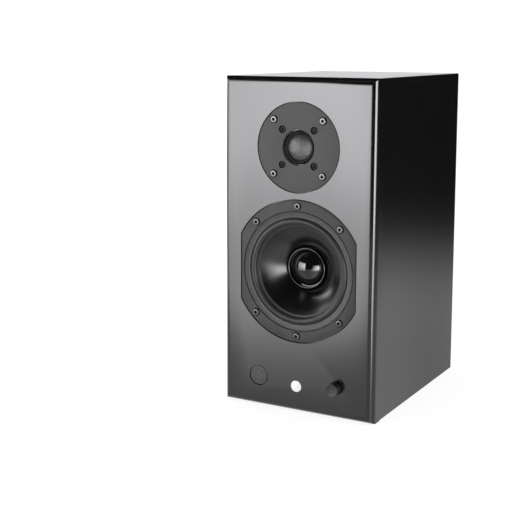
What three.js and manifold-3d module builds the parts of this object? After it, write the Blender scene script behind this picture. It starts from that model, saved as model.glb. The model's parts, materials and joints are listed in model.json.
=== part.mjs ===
// Powered two-way bookshelf speaker: the right-hand cabinet of a pair.
// Its controls are on the front and its amplifier is inside.
// Millimetres, +Z up. The front faces -Y, and the origin is the middle of the underside.
import * as THREE from "three";
import { mergeVertices } from "three/addons/utils/BufferGeometryUtils.js";
import Module from "manifold-3d";

const wasm = await Module();
wasm.setup();

// ---------------------------------------------------------------- driving dimensions
const CABINET = { width: 175, depth: 232, height: 350 };
const WALL = 15; // side, top, bottom and rear panels
const BAFFLE = 18; // front panel
const FRONT_ROUND = 7.5; // radius of the four front edges
const FRONT = -CABINET.depth / 2;
const BACK = CABINET.depth / 2;
const HALF_WIDTH = CABINET.width / 2;
const GAP = 0.3; // between pieces that are cut to fit each other

const TWEETER = { z: 278.4, plate: 46.8, opening: 18.2, hole: 35.3, screws: 39.6, motorScrews: 25.7 };
const WOOFER = { z: 149.8, flange: 75.1, flat: 66.5, hole: 63.2, screws: 68.4 };
const FLANGE_SINK = 0.2; // how far a driver's flange lies below the baffle
const TWEETER_PLATE_THICK = 4;
const TWEETER_REBATE = 5;
const WOOFER_FLANGE_THICK = 4.5;
const WOOFER_REBATE = 5.2;
const HEAD = { radius: 3.4, height: 3, bore: 4, sink: 1.6 }; // driver screws
const SHANK = { radius: 1.9, length: 16, bore: 2.2 };

const CONTROL = { x: 45, z: 32.6, skin: 6 }; // the two controls, and the baffle left in front of their pocket
const BUTTON = { radius: 10.4, hole: 10.8, flange: 12.4, travel: 1.2 };
const KNOB = { radius: 7.2, length: 8.6, clear: 0.9, travel: 0.5 };
const BADGE = { z: 27.6, radius: 6, thick: 0.6 };

const PORT = { z: 288, bore: 22.5, wall: 2, length: 106, mouth: 32 };
const AMP_PLATE = { width: 128, height: 158, z: 101, thick: 2.5, rim: 8 };
const INLET = { x: -26, z: 48 };
const SWITCH = { x: 32, z: 48, tilt: 10 };
const POSTS = { x: -32, z: 146, spacing: 19, plate: 3, stud: 2 };
const PHONO = { x: 36, z: 146, spacing: 18, radius: 4.15 };

const FINE = 48; // segments round the parts that show
const ROUND = 32; // segments round the hidden ones
const SMALL = 16; // segments round small holes and pins

// ---------------------------------------------------------------- shape tools
function solidOf(geometry) {
  const bare = geometry.index ? geometry.toNonIndexed() : geometry.clone();
  bare.deleteAttribute("normal");
  bare.deleteAttribute("uv");
  const merged = mergeVertices(bare, 1e-3);
  const corners = [];
  for (let i = 0; i < merged.index.count; i += 3) {
    const [a, b, c] = [0, 1, 2].map((k) => merged.index.getX(i + k));
    if (a !== b && b !== c && c !== a) corners.push(a, b, c);
  }
  return new wasm.Manifold(
    new wasm.Mesh({
      numProp: 3,
      vertProperties: merged.attributes.position.array,
      triVerts: new Uint32Array(corners),
    }),
  );
}

function geometryOf(solid) {
  const mesh = solid.getMesh();
  const vertices = new Float32Array(mesh.numVert * 3);
  for (let i = 0; i < mesh.numVert; i++) {
    vertices.set(mesh.vertProperties.subarray(i * mesh.numProp, i * mesh.numProp + 3), i * 3);
  }
  const geometry = new THREE.BufferGeometry();
  geometry.setAttribute("position", new THREE.BufferAttribute(vertices, 3));
  geometry.setIndex(new THREE.BufferAttribute(mesh.triVerts, 1));
  geometry.computeVertexNormals();
  return geometry;
}

// A solid turned about the Y axis. Its profile of [radius, y] points closes on itself or ends on the axis.
function turned(profile, segments = ROUND) {
  const area = profile.reduce((sum, [r, y], i) => {
    const [nextR, nextY] = profile[(i + 1) % profile.length];
    return sum + r * nextY - nextR * y;
  }, 0);
  const points = profile.map(([r, y]) => new THREE.Vector2(r, y));
  if (area < 0) points.reverse();
  if (profile[0][0] > 0) points.push(points[0].clone());
  return solidOf(new THREE.LatheGeometry(points, segments));
}

function ring(inner, outer, y0, y1, segments = ROUND) {
  return turned([[inner, y0], [outer, y0], [outer, y1], [inner, y1]], segments);
}

function rod(radius, y0, y1, segments = SMALL, x = 0, z = 0) {
  const cylinder = new THREE.CylinderGeometry(radius, radius, y1 - y0, segments);
  return solidOf(cylinder.translate(x, (y0 + y1) / 2, z));
}

function block(x0, x1, y0, y1, z0, z1) {
  const box = new THREE.BoxGeometry(x1 - x0, y1 - y0, z1 - z0);
  return solidOf(box.translate((x0 + x1) / 2, (y0 + y1) / 2, (z0 + z1) / 2));
}

// A block given by its middle in x and z.
function boxed(x, z, width, height, y0, y1) {
  return block(x - width / 2, x + width / 2, y0, y1, z - height / 2, z + height / 2);
}

// An outline in x and z, made thick from y0 to y1.
function slab(shape, y0, y1, curveSegments = 12) {
  const plate = new THREE.ExtrudeGeometry(shape, { depth: y1 - y0, bevelEnabled: false, curveSegments });
  return solidOf(plate.rotateX(Math.PI / 2).translate(0, y1, 0));
}

// An outline in y and z, made thick from x0 to x1.
function sideSlab(shape, x0, x1, curveSegments = 6) {
  const plate = new THREE.ExtrudeGeometry(shape, { depth: x1 - x0, bevelEnabled: false, curveSegments });
  const axes = new THREE.Matrix4().makeBasis(
    new THREE.Vector3(0, 1, 0),
    new THREE.Vector3(0, 0, 1),
    new THREE.Vector3(1, 0, 0),
  );
  return solidOf(plate.applyMatrix4(axes).translate(x0, 0, 0));
}

function outline(points) {
  return new THREE.Shape(points.map(([u, v]) => new THREE.Vector2(u, v)));
}

// count places [x, z] on a circle, the first at start degrees.
function around(count, radius, start) {
  return Array.from({ length: count }, (_, i) => {
    const angle = ((start + (360 * i) / count) * Math.PI) / 180;
    return [radius * Math.cos(angle), radius * Math.sin(angle)];
  });
}

function tube(points, radius, steps, sides = 8) {
  const path = new THREE.CatmullRomCurve3(points.map((p) => new THREE.Vector3(...p)));
  const section = new THREE.Shape();
  section.absarc(0, 0, radius, 0, Math.PI * 2, false);
  const options = { steps, bevelEnabled: false, extrudePath: path, curveSegments: sides };
  return solidOf(new THREE.ExtrudeGeometry(section, options));
}

const FINISH = {
  lacquer: { color: 0x0b0b0c, roughness: 0.3, metalness: 0 },
  board: { color: 0x6b5340, roughness: 0.9, metalness: 0 },
  plastic: { color: 0x1a1a1b, roughness: 0.45, metalness: 0 },
  castMetal: { color: 0x2b2b2d, roughness: 0.5, metalness: 0.4 },
  rubber: { color: 0x151516, roughness: 0.6, metalness: 0 },
  cone: { color: 0x0d0d0e, roughness: 0.25, metalness: 0 },
  silk: { color: 0x1c1c1a, roughness: 0.7, metalness: 0 },
  steel: { color: 0x9a9da0, roughness: 0.35, metalness: 1 },
  ferrite: { color: 0x2c2c2e, roughness: 0.8, metalness: 0 },
  copper: { color: 0xb87333, roughness: 0.35, metalness: 1 },
  cloth: { color: 0xb48a4a, roughness: 0.9, metalness: 0 },
  foam: { color: 0x2f3033, roughness: 1, metalness: 0 },
  circuit: { color: 0x1f5a34, roughness: 0.5, metalness: 0 },
  aluminium: { color: 0x202123, roughness: 0.5, metalness: 0.6 },
  gold: { color: 0xd4a84a, roughness: 0.3, metalness: 1 },
  white: { color: 0xf2f2f0, roughness: 0.4, metalness: 0 },
  red: { color: 0xb01818, roughness: 0.4, metalness: 0 },
};
const materials = Object.fromEntries(
  Object.entries(FINISH).map(([name, look]) => [name, new THREE.MeshStandardMaterial(look)]),
);

function add(group, name, solid, finish) {
  const mesh = new THREE.Mesh(geometryOf(solid), materials[finish]);
  mesh.name = name;
  group.add(mesh);
}

// ---------------------------------------------------------------- cabinet
function truncatedCircle(radius, flat) {
  const corner = Math.acos(flat / radius);
  const shape = new THREE.Shape();
  shape.absarc(0, 0, radius, corner, Math.PI - corner, false);
  shape.absarc(0, 0, radius, Math.PI + corner, 2 * Math.PI - corner, false);
  return shape;
}

// The baffle is where a profile rounded at both sides meets one rounded at top and bottom.
// So its corners are mitred.
function baffleBlank() {
  const back = FRONT + BAFFLE;
  const across = new THREE.Shape();
  const sideCentre = HALF_WIDTH - FRONT_ROUND;
  across.moveTo(-HALF_WIDTH, back);
  across.absarc(-sideCentre, FRONT + FRONT_ROUND, FRONT_ROUND, Math.PI, 1.5 * Math.PI, false);
  across.absarc(sideCentre, FRONT + FRONT_ROUND, FRONT_ROUND, 1.5 * Math.PI, 2 * Math.PI, false);
  across.lineTo(HALF_WIDTH, back);
  const upright = new THREE.Shape();
  upright.moveTo(back, 0);
  upright.lineTo(back, CABINET.height);
  const topCentre = CABINET.height - FRONT_ROUND;
  upright.absarc(FRONT + FRONT_ROUND, topCentre, FRONT_ROUND, 0.5 * Math.PI, Math.PI, false);
  upright.absarc(FRONT + FRONT_ROUND, FRONT_ROUND, FRONT_ROUND, Math.PI, 1.5 * Math.PI, false);
  const options = { depth: CABINET.height + 2, bevelEnabled: false, curveSegments: 6 };
  const tall = solidOf(new THREE.ExtrudeGeometry(across, options).translate(0, 0, -1));
  return tall.intersect(sideSlab(upright, -HALF_WIDTH - 1, HALF_WIDTH + 1));
}

function frontBaffle() {
  const past = FRONT - 1;
  const behind = FRONT + BAFFLE + 1;
  const cuts = [
    rod(TWEETER.plate + GAP, past, FRONT + TWEETER_REBATE, FINE, 0, TWEETER.z),
    rod(TWEETER.hole, past, behind, ROUND, 0, TWEETER.z),
    slab(truncatedCircle(WOOFER.flange + GAP, WOOFER.flat + GAP), past, FRONT + WOOFER_REBATE)
      .translate([0, 0, WOOFER.z]),
    rod(WOOFER.hole, past, behind, FINE, 0, WOOFER.z),
    rod(BUTTON.hole, past, behind, ROUND, -CONTROL.x, CONTROL.z),
    rod(ENCODER.bushing + GAP, past, behind, SMALL, CONTROL.x, CONTROL.z),
    boxed(0, CONTROL.z, 128, 42, FRONT + CONTROL.skin, behind),
    ...around(4, TWEETER.screws, 45).map(([x, z]) => rod(SHANK.bore, past, behind, 8, x, TWEETER.z + z)),
    ...wooferScrewPlaces().map(([x, z]) => rod(SHANK.bore, past, behind, 8, x, WOOFER.z + z)),
  ];
  return cuts.reduce((left, cut) => left.subtract(cut), baffleBlank());
}

// A block over the amplifier plate, wider and higher than it by extra.
function ampPlateSized(extra, y0, y1) {
  return boxed(0, AMP_PLATE.z, AMP_PLATE.width + extra, AMP_PLATE.height + extra, y0, y1);
}

function cabinet(group) {
  const back = FRONT + BAFFLE;
  const side = HALF_WIDTH;
  const inner = HALF_WIDTH - WALL;
  const top = CABINET.height;
  const ceiling = top - WALL;
  add(group, "front_baffle", frontBaffle(), "lacquer");
  const roof = outline([[-side, top], [-inner, ceiling], [inner, ceiling], [side, top]]);
  const floor = outline([[-side, 0], [side, 0], [inner, WALL], [-inner, WALL]]);
  const left = outline([[-side, 0], [-inner, WALL], [-inner, ceiling], [-side, top]]);
  const right = outline([[side, 0], [side, top], [inner, ceiling], [inner, WALL]]);
  add(group, "top_panel", slab(roof, back, BACK), "lacquer");
  add(group, "bottom_panel", slab(floor, back, BACK), "lacquer");
  add(group, "left_side_panel", slab(left, back, BACK), "lacquer");
  add(group, "right_side_panel", slab(right, back, BACK), "lacquer");

  const rearInside = BACK - WALL;
  const rear = block(-inner, inner, rearInside, BACK, WALL, ceiling)
    .subtract(rod(PORT.bore + PORT.wall + GAP, rearInside - 1, BACK + 1, ROUND, 0, PORT.z))
    .subtract(rod(PORT.mouth + GAP, BACK - 3, BACK + 1, ROUND, 0, PORT.z))
    .subtract(ampPlateSized(2 * GAP, BACK - AMP_PLATE.thick, BACK + 1))
    .subtract(ampPlateSized(-2 * AMP_PLATE.rim, rearInside - 1, BACK + 1));
  add(group, "rear_panel", rear, "lacquer");

  const brace = { z: 228, thick: 12, window: 96, length: 130 };
  const shelf = boxed(0, brace.z, 2 * inner, brace.thick, back, rearInside)
    .subtract(boxed(0, brace.z, brace.window, brace.thick + 2, -brace.length / 2, brace.length / 2));
  add(group, "window_brace", shelf, "board");

  const foam = { thick: 8, y: [-60, 84], z: [30, 212] };
  for (const [name, sign] of [["foam_lining_left", -1], ["foam_lining_right", 1]]) {
    const faces = [sign * (inner - GAP), sign * (inner - GAP - foam.thick)].sort((a, b) => a - b);
    add(group, name, block(faces[0], faces[1], ...foam.y, ...foam.z), "foam");
  }
}

// ---------------------------------------------------------------- driver screws
// A hex socket screw along Y, its head's underside at seat.
function driverScrew(seat) {
  const { radius, height } = HEAD;
  const chamfer = 0.4;
  const face = seat - height;
  const profile = [
    [0, face], [radius - chamfer, face], [radius, face + chamfer], [radius, seat],
    [SHANK.radius, seat], [SHANK.radius, seat + SHANK.length - 3], [0, seat + SHANK.length],
  ];
  return turned(profile, SMALL).subtract(rod(1.75, face - 1, face + 2, 6));
}

function screws(group, name, places) {
  const seat = FLANGE_SINK + HEAD.sink;
  places.forEach(([x, z], i) => {
    add(group, `${name}_${i + 1}`, driverScrew(seat).translate([x, 0, z]), "steel");
  });
}

function screwHoles(plate, places) {
  const seat = FLANGE_SINK + HEAD.sink;
  return places.reduce(
    (left, [x, z]) =>
      left.subtract(rod(HEAD.bore, -1, seat, SMALL, x, z)).subtract(rod(SHANK.bore, -1, 20, 8, x, z)),
    plate,
  );
}

// ---------------------------------------------------------------- tweeter
// y is the depth behind the baffle's face.
function tweeter(group) {
  const { plate, opening } = TWEETER;
  const face = FLANGE_SINK;
  const plateBack = face + TWEETER_PLATE_THICK;
  const places = around(4, TWEETER.screws, 45);
  const motorPlaces = around(4, TWEETER.motorScrews, 45);
  const blank = turned([
    [opening, face + 0.8], [opening + 0.8, face], [plate - 0.6, face], [plate, face + 0.6],
    [plate, plateBack], [opening, plateBack],
  ], FINE);
  const drilled = motorPlaces.reduce(
    (left, [x, z]) => left.subtract(rod(4, -1, face + 2.4, SMALL, x, z)).subtract(rod(1.8, -1, 20, 8, x, z)),
    screwHoles(blank, places),
  );
  add(group, "tweeter_faceplate", drilled, "castMetal");

  const motorFace = plateBack + 0.4;
  const coil = 13.3;
  const dome = { rim: coil + 0.3, base: 4.2, apex: -1.2, skin: 0.6 };
  const rise = dome.base - dome.apex;
  const sphere = (dome.rim ** 2 + rise ** 2) / (2 * rise);
  const arc = (radius, steps) =>
    Array.from({ length: steps + 1 }, (_, i) => {
      const angle = (Math.asin(dome.rim / sphere) * i) / steps;
      return [radius * Math.sin(angle), dome.apex + sphere - radius * Math.cos(angle)];
    });
  const shell = [...arc(sphere, 6), ...arc(sphere - dome.skin, 6).reverse()];
  add(group, "tweeter_dome", turned(shell, ROUND), "silk");
  add(group, "tweeter_surround", turned([
    [coil + 0.6, 3.8], [coil + 0.9, 3.0], [coil + 1.8, 2.5], [coil + 2.9, 2.9], [coil + 3.5, 4.0],
    [opening - GAP, 4.0], [opening - GAP, motorFace], [coil + 3.2, motorFace],
    [coil + 2.6, 3.4], [coil + 1.8, 3.1], [coil + 1.2, 3.4], [coil + 1.0, 4.2], [coil + 0.6, 4.2],
  ], ROUND), "silk");
  add(group, "tweeter_voice_coil", turned([
    [coil - 0.25, 5.0], [coil + 0.2, 5.0], [coil + 0.2, 6.2], [coil + 0.5, 6.2], [coil + 0.5, 9],
    [coil - 0.25, 9],
  ]), "copper");
  const motorHoles = (left) =>
    motorPlaces.reduce((rest, [x, z]) => rest.subtract(rod(1.8, -1, 13, 8, x, z)), left);
  add(group, "tweeter_top_plate", motorHoles(ring(coil + 1.1, 32.5, motorFace, motorFace + 4)), "steel");
  add(group, "tweeter_magnet", ring(coil + 3.7, 33.5, motorFace + 4, motorFace + 13.4), "ferrite");
  const yoke = motorFace + 13.4;
  add(group, "tweeter_yoke", turned([
    [0, 5.6], [12.2, 5.6], [12.2, yoke], [32, yoke], [32, yoke + 4], [0, yoke + 4],
  ]), "steel");
  const cup = yoke + 4;
  add(group, "tweeter_rear_chamber", turned([
    [27, cup], [29, cup], [29, cup + 18], [27, cup + 20],
    [0, cup + 20], [0, cup + 18], [26, cup + 18], [27, cup + 17],
  ]), "plastic");
  screws(group, "tweeter_screw", places);
}

// ---------------------------------------------------------------- woofer
// Six of the eight places at 45 degrees: the two at the flats are left out.
function wooferScrewPlaces() {
  return around(8, WOOFER.screws, 0).filter((_, i) => i % 4 !== 0);
}

function basket() {
  const face = FLANGE_SINK;
  const flangeBack = face + WOOFER_FLANGE_THICK;
  const ledge = 3.6;
  const plate = slab(truncatedCircle(WOOFER.flange, WOOFER.flat), face, flangeBack, 24)
    .subtract(rod(63.5, face - 1, flangeBack + 1, FINE));
  const tub = turned([
    [56.5, ledge], [64, ledge], [64, flangeBack], [62.5, flangeBack], [61.5, 14], [41, 42], [41, 46],
    [21.5, 46], [21.5, 43], [38, 43], [58.5, 14], [56.5, 7],
  ], FINE);
  const window = boxed(0, 48, 30, 40, 16, 38);
  const windows = Array.from({ length: 6 }, (_, i) => window.rotate([0, 60 * i + 30, 0]));
  const body = windows.reduce((left, cut) => left.subtract(cut), plate.add(tub));
  return screwHoles(body, wooferScrewPlaces());
}

function woofer(group) {
  const coil = 19.25;
  add(group, "woofer_basket", basket(), "castMetal");
  add(group, "woofer_trim_ring", turned([
    [56.2, 2.6], [57, 1.6], [62.4, 0.5], [63.2, 0.9], [63.2, 2.9], [56.2, 2.9],
  ], FINE), "rubber");
  add(group, "woofer_surround", turned([
    [46.2, 5.1], [48.4, 4.0], [49.2, 1.4], [51, 0], [53.2, 0], [55, 1.4], [55.6, 3.0], [62.6, 3.0],
    [62.6, 3.6], [55.0, 3.6], [54.2, 2.0], [52.8, 0.9], [51.4, 0.9], [50.0, 2.0], [49.3, 4.4], [46.2, 5.9],
  ], FINE), "rubber");
  add(group, "woofer_cone", turned([
    [48.4, 5.2], [44, 7.2], [40, 9.2], [36, 11.6], [32, 14.4], [28, 17.8], [25, 20.7], [22.7, 23.4],
    [22, 26.1], [19.8, 26.8], [19.8, 27.8], [22.6, 27.4], [23.6, 24.2], [25.8, 21.6], [28.8, 18.6],
    [32.7, 15.2], [36.6, 12.4], [40.5, 10.1], [44.4, 8.2], [48.4, 6.4],
  ], FINE), "cone");
  const dome = { rim: 18.7, base: 24.4, apex: 14.6, steps: 6 };
  const rise = dome.base - dome.apex;
  const sphere = (dome.rim ** 2 + rise ** 2) / (2 * rise);
  const cap = (radius) =>
    Array.from({ length: dome.steps + 1 }, (_, i) => {
      const angle = (Math.asin(dome.rim / sphere) * i) / dome.steps;
      return [radius * Math.sin(angle), dome.apex + sphere - radius * Math.cos(angle)];
    });
  add(group, "woofer_dust_cap", turned([
    ...cap(sphere), [20.3, 21.3], [20.9, 21], [21.6, 21.6], [21.6, 26], [20.6, 26], [20.6, 25.6],
    ...cap(sphere - 0.9).reverse(),
  ], FINE), "cone");
  add(group, "woofer_voice_coil", turned([
    [coil - 0.25, 26.5], [coil + 0.25, 26.5], [coil + 0.25, 44], [coil + 1, 44], [coil + 1, 55],
    [coil + 0.25, 55], [coil + 0.25, 57], [coil - 0.25, 57],
  ]), "copper");
  const corrugations = [
    [19.9, 38.2], [22, 37.4], [24, 39.4], [26, 37.4], [28, 39.4], [30, 37.4], [32, 39.4], [33.6, 38.4],
  ];
  add(group, "woofer_spider", turned([
    ...corrugations, [34.6, 42.2], [37, 42.2], [37, 43], [34, 43],
    ...corrugations.map(([r, y]) => [r - (r > 33 ? 0.4 : 0), y + 0.8]).reverse(),
  ], ROUND), "cloth");
  add(group, "woofer_top_plate", ring(coil + 1.9, 38, 46, 52), "steel");
  add(group, "woofer_magnet", ring(26, 44, 52, 67), "ferrite");
  add(group, "woofer_yoke", turned([
    [5, 46.5], [18.3, 46.5], [18.3, 67], [42, 67], [42, 73], [5, 73],
  ]), "steel");
  screws(group, "woofer_screw", wooferScrewPlaces());
}

// ---------------------------------------------------------------- front controls
const ENCODER = { bushing: 4.4, bore: 3.4, shaft: 3, body: 12.5, face: 8, back: 15.9 };
const BOARD = { face: 16, thick: 1.6 };

function standbyButton(group) {
  const { radius, flange, travel } = BUTTON;
  const lip = CONTROL.skin + 0.4;
  const stemEnd = 11.6;
  add(group, "standby_button", turned([
    [0, 0.3], [radius - 0.4, 0.3], [radius, 0.7], [radius, lip], [flange, lip], [flange, lip + 1.6],
    [3, lip + 1.6], [3, stemEnd], [0, stemEnd],
  ]), "plastic");
  add(group, "standby_switch", boxed(0, 0, 10, 10, stemEnd + travel + 0.1, BOARD.face - 0.1), "plastic");
}

function volumeControl(group) {
  const { radius, length, clear } = KNOB;
  const { bushing, bore, shaft, body, face, back } = ENCODER;
  add(group, "volume_knob", turned([
    [0, -clear - length], [radius - 0.6, -clear - length], [radius, -clear - length + 0.6], [radius, -clear],
    [shaft + GAP, -clear], [shaft + GAP, -clear - 6.6], [0, -clear - 6.6],
  ]), "plastic");
  add(group, "encoder_shaft", rod(shaft, -clear - 6.3, 13.2), "steel");
  add(group, "encoder_plunger", rod(shaft, 13.5, 15), "white");
  const housing = boxed(0, 0, body, body, face, back)
    .add(rod(bushing, 1, face + 1))
    .subtract(rod(bore, 0, back + 1));
  add(group, "volume_encoder", housing, "steel");
}

function controls(group) {
  const board = boxed(0, 0, 120, 38, BOARD.face, BOARD.face + BOARD.thick);
  add(group, "control_board", board, "circuit");
  const left = new THREE.Group();
  left.position.x = -CONTROL.x;
  standbyButton(left);
  const right = new THREE.Group();
  right.position.x = CONTROL.x;
  volumeControl(right);
  group.add(left, right);
}

// ---------------------------------------------------------------- rear: port, amplifier plate and sockets
// y is the distance behind the rear panel's face.
function port(group) {
  const { bore, wall, length, mouth } = PORT;
  const flare = 8;
  const curve = Array.from({ length: 5 }, (_, i) => {
    const angle = (Math.PI / 2) * (i / 4);
    return [bore + flare * (1 - Math.cos(angle)), -flare + flare * Math.sin(angle)];
  });
  add(group, "port_tube", turned([
    ...curve, [mouth, 0], [mouth, -3], [bore + wall, -3], [bore + wall, -length], [bore, -length],
  ]), "plastic");
}

function mainsInlet() {
  const body = boxed(0, 0, 27, 19.6, -24, 0).add(boxed(0, 0, 48, 22, 0, 3));
  const cavity = boxed(0, 0, 24, 16, -13, 4);
  const pins = [[-7, -2], [7, -2], [0, 2]].map(([x, z]) => boxed(x, z, 2, 4, -14, -3));
  return pins.reduce((left, pin) => left.add(pin), body.subtract(cavity));
}

function mainsSwitch(group) {
  const frame = boxed(0, 0, 15, 21, 0, 2).add(boxed(0, 0, 12.4, 18.6, -16, 0));
  add(group, "switch_housing", frame.subtract(boxed(0, 0, 10.6, 16.5, -6.6, 3)), "plastic");
  const profile = outline([[-3, -4], [1, -7.7], [3, -7.2], [2.4, 0], [3, 7.2], [1, 7.7], [-3, 4]]);
  const rocker = new THREE.Group();
  rocker.position.y = -0.5;
  rocker.rotation.x = (-SWITCH.tilt * Math.PI) / 180;
  add(rocker, "mains_rocker", sideSlab(profile, -4.9, 4.9), "plastic");
  group.add(rocker);
}

function ridged(radius, depth, ridges) {
  const steps = ridges * 4;
  const points = Array.from({ length: steps }, (_, i) => {
    const angle = (2 * Math.PI * i) / steps;
    const r = radius - depth * (i % 4 < 2 ? 0 : 1);
    return [r * Math.cos(angle), r * Math.sin(angle)];
  });
  return outline(points);
}

function speakerPosts(group) {
  const { spacing, plate, stud } = POSTS;
  const collar = plate + 2;
  const studEnd = 14;
  const places = [["red", -spacing / 2], ["black", spacing / 2]];
  const base = places.reduce(
    (left, [, x]) =>
      left
        .add(rod(5.5, plate - 1, collar, SMALL, x))
        .add(rod(stud, -12, studEnd, SMALL, x))
        .add(rod(4, -5, 1, SMALL, x)),
    boxed(0, 0, 42, 18, 0, plate),
  );
  add(group, "speaker_post_base", base, "gold");
  for (const [colour, x] of places) {
    const washer = ring(stud + GAP, 5, collar + GAP, collar + GAP + 0.9, SMALL).translate([x, 0, 0]);
    add(group, `${colour}_post_washer`, washer, "gold");
    const foot = collar + 2 * GAP + 0.9;
    const nut = slab(ridged(6.2, 0.5, 8), foot, foot + 11)
      .subtract(rod(stud + GAP, foot - 1, foot + 12))
      .translate([x, 0, 0]);
    add(group, `${colour}_post_nut`, nut, colour === "red" ? "red" : "plastic");
  }
}

function phonoSockets(group) {
  const { spacing, radius } = PHONO;
  const barrels = [-spacing / 2, spacing / 2];
  const block = barrels.reduce(
    (left, z) => left.add(rod(radius, 0, 10.5, SMALL, 0, z)),
    boxed(0, 0, 13, 2 * spacing - 3, 0, 2.5).add(boxed(0, 0, 10, 2 * spacing - 7, -14, 1)),
  );
  const bored = barrels.reduce((left, z) => left.subtract(rod(1.7, 2, 12, 8, 0, z)), block);
  add(group, "phono_socket_pair", bored, "gold");
}

function rear(group) {
  const at = (x, z) => {
    const place = new THREE.Group();
    place.position.set(x, 0, z);
    group.add(place);
    return place;
  };
  port(at(0, PORT.z));
  const { width, height, z, thick } = AMP_PLATE;
  const cut = (x, zMid, w, h) => boxed(x, zMid, w + 2 * GAP, h + 2 * GAP, -thick - 1, 1);
  const plate = boxed(0, z, width, height, -thick, 0)
    .subtract(cut(INLET.x, INLET.z, 27, 19.6))
    .subtract(cut(SWITCH.x, SWITCH.z, 12.4, 18.6))
    .subtract(cut(PHONO.x, PHONO.z, 10, 2 * PHONO.spacing - 7))
    .subtract(rod(4 + GAP, -thick - 1, 1, SMALL, POSTS.x - POSTS.spacing / 2, POSTS.z))
    .subtract(rod(4 + GAP, -thick - 1, 1, SMALL, POSTS.x + POSTS.spacing / 2, POSTS.z));
  add(group, "amp_plate", plate, "aluminium");
  add(at(INLET.x, INLET.z), "mains_inlet", mainsInlet(), "plastic");
  mainsSwitch(at(SWITCH.x, SWITCH.z));
  speakerPosts(at(POSTS.x, POSTS.z));
  phonoSockets(at(PHONO.x, PHONO.z));

  const boardFace = -30;
  add(group, "amp_board", boxed(0, z, 104, 134, boardFace - 1.6, boardFace), "circuit");
  const sink = { x: -16, z: 96, width: 60, height: 44, foot: 4, fins: 6 };
  const foot = boxed(sink.x, sink.z, sink.width, sink.height, boardFace + GAP, boardFace + GAP + sink.foot);
  const fins = Array.from({ length: sink.fins }, (_, i) => {
    const x = sink.x - sink.width / 2 + 2 + ((sink.width - 4) * i) / (sink.fins - 1);
    return boxed(x, sink.z, 3, sink.height, boardFace + 2, -thick - 2);
  });
  add(group, "heatsink", fins.reduce((left, fin) => left.add(fin), foot), "aluminium");
}

// ---------------------------------------------------------------- internal cables
function cables(group) {
  const toWoofer = [
    [-40, 84.2, 120], [-40, 78, 120], [-46, 66, 128], [-54, 40, 140], [-57.5, 5, 147], [-57.5, -40, 150],
    [-56, -72, 152],
  ];
  const toTweeter = [
    [40, 84.2, 150], [40, 78, 150], [38, 64, 176], [35, 40, 210], [32, 20, 232], [26, -20, 250],
    [20, -50, 262], [14, -66, 268],
  ];
  add(group, "woofer_cable", tube(toWoofer, 1.8, 28), "copper");
  add(group, "tweeter_cable", tube(toTweeter, 1.8, 32), "copper");
}

// ---------------------------------------------------------------- assembly
const speaker = new THREE.Group();
cabinet(speaker);

function atFront(z, fill) {
  const group = new THREE.Group();
  group.position.set(0, FRONT, z);
  fill(group);
  speaker.add(group);
}
atFront(TWEETER.z, tweeter);
atFront(WOOFER.z, woofer);
atFront(CONTROL.z, controls);
atFront(BADGE.z, (group) => add(group, "badge", rod(BADGE.radius, -BADGE.thick, 0, ROUND), "white"));

const rearGroup = new THREE.Group();
rearGroup.position.y = BACK;
rear(rearGroup);
speaker.add(rearGroup);
cables(speaker);

export default speaker;
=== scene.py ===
"""Looks of a powered bookshelf speaker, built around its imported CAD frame.

Sizes are in millimetres until a mesh is made.
"""
import json
import math

import bmesh
import bpy
from mathutils import Matrix, Vector


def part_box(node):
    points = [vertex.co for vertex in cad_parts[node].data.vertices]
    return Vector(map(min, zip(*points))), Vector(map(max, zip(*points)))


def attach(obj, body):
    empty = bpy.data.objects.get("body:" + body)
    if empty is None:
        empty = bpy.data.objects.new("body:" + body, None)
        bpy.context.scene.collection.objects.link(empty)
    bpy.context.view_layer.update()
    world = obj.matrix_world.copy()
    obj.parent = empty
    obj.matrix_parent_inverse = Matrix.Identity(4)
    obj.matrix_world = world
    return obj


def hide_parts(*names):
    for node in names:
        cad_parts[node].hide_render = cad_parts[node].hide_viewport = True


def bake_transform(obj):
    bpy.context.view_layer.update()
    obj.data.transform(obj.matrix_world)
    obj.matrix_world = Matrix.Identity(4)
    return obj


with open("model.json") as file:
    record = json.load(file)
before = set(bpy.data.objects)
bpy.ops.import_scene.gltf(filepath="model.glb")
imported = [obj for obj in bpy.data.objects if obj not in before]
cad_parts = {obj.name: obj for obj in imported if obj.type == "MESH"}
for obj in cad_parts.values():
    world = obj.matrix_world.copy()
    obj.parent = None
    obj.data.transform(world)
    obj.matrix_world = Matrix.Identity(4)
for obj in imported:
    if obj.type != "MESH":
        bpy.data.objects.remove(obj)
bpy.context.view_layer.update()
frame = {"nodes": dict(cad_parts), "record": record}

MM = 0.001
ROUND = 96  # segments round the large turned parts
SMALL = 32  # segments round the small ones


# ---------------------------------------------------------------- places, from the frame
def middle(node):
    low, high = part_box(node)
    return (low + high) / 2 / MM


HALF_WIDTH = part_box("front_baffle")[1].x / MM
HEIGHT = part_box("front_baffle")[1].z / MM
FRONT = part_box("front_baffle")[0].y / MM
BAFFLE_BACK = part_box("front_baffle")[1].y / MM
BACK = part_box("rear_panel")[1].y / MM
WALL = 15.0
FRONT_ROUND = 7.5
TWEETER = middle("tweeter_faceplate")
WOOFER = middle("woofer_basket")
BUTTON = middle("standby_button")
KNOB = middle("volume_knob")
BADGE = middle("badge")
PORT = middle("port_tube")
PLATE = middle("amp_plate")
INLET = middle("mains_inlet")
SWITCH = middle("switch_housing")
PHONO = middle("phono_socket_pair")
POST_BASE = middle("speaker_post_base")
POST_SPACING = 19.0
SCREW_SEAT = 1.8  # how deep the heads of the driver screws sit below the baffle's face
SCREW_BORE = 4.3
MOTOR_SEAT = 2.6
MOTOR_BORE = 4.0
IOR = 1.5


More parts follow.
